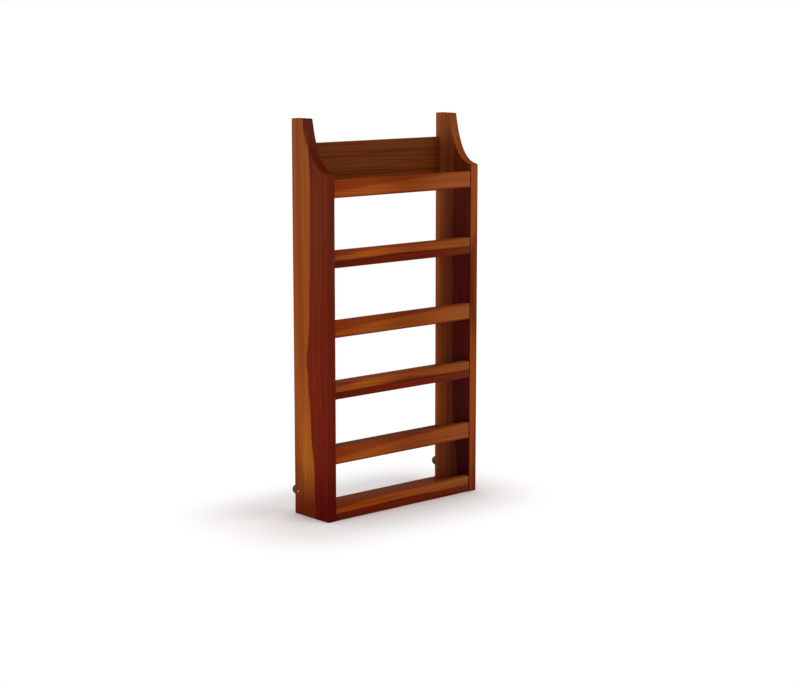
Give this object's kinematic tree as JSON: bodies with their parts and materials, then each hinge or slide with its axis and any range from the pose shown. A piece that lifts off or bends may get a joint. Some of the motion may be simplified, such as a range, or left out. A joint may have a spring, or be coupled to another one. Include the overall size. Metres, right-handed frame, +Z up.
{
  "type": "periodical display rack",
  "caption": "Tall shallow wooden display rack: scooped side boards carry open shelves, each with a low front lip and a retaining rail, to show periodicals face out.",
  "frame": {"origin": "on the floor, under the middle of the overall box", "axes": "+Z up, front towards -Y, +X to the right as seen from the front"},
  "size_m": [0.5, 0.152, 0.984],
  "materials": {
    "side_wood": "semi-gloss clear lacquer on red-brown hardwood, pale at the back and dark red at the front",
    "rail_wood": "semi-gloss clear lacquer on orange-brown hardwood, grain along the board",
    "shelf_wood": "semi-gloss clear lacquer on dark red-brown hardwood",
    "back_wood": "semi-gloss clear lacquer on brown hardwood",
    "dowel_wood": "plain pale hardwood"
  },
  "bodies": {
    "root": {"bottom_back_slat": "back_wood", "bottom_back_slat_left_lower_dowel": "dowel_wood", "bottom_back_slat_left_upper_dowel": "dowel_wood", "bottom_back_slat_right_lower_dowel": "dowel_wood", "bottom_back_slat_right_upper_dowel": "dowel_wood", "bottom_front_rail": "rail_wood", "bottom_front_rail_left_lower_dowel": "dowel_wood", "bottom_front_rail_left_upper_dowel": "dowel_wood", "bottom_front_rail_right_lower_dowel": "dowel_wood", "bottom_front_rail_right_upper_dowel": "dowel_wood", "bottom_lip": "rail_wood", "bottom_lip_left_dowel": "dowel_wood", "bottom_lip_right_dowel": "dowel_wood", "bottom_shelf": "shelf_wood", "left_side": "side_wood", "left_wall_stop": "side_wood", "left_wall_stop_pin": "dowel_wood", "middle_back_slat": "back_wood", "middle_back_slat_left_lower_dowel": "dowel_wood", "middle_back_slat_left_upper_dowel": "dowel_wood", "middle_back_slat_right_lower_dowel": "dowel_wood", "middle_back_slat_right_upper_dowel": "dowel_wood", "middle_front_rail": "rail_wood", "middle_front_rail_left_lower_dowel": "dowel_wood", "middle_front_rail_left_upper_dowel": "dowel_wood", "middle_front_rail_right_lower_dowel": "dowel_wood", "middle_front_rail_right_upper_dowel": "dowel_wood", "middle_lip": "rail_wood", "middle_lip_left_dowel": "dowel_wood", "middle_lip_right_dowel": "dowel_wood", "middle_shelf": "shelf_wood", "right_side": "side_wood", "right_wall_stop": "side_wood", "right_wall_stop_pin": "dowel_wood", "top_back_rail": "back_wood", "top_back_rail_left_lower_dowel": "dowel_wood", "top_back_rail_left_upper_dowel": "dowel_wood", "top_back_rail_right_lower_dowel": "dowel_wood", "top_back_rail_right_upper_dowel": "dowel_wood", "top_front_rail": "rail_wood", "top_front_rail_left_lower_dowel": "dowel_wood", "top_front_rail_left_upper_dowel": "dowel_wood", "top_front_rail_right_lower_dowel": "dowel_wood", "top_front_rail_right_upper_dowel": "dowel_wood", "top_lip": "rail_wood", "top_lip_left_dowel": "dowel_wood", "top_lip_right_dowel": "dowel_wood", "top_shelf": "shelf_wood"}
  },
  "joints": []
}
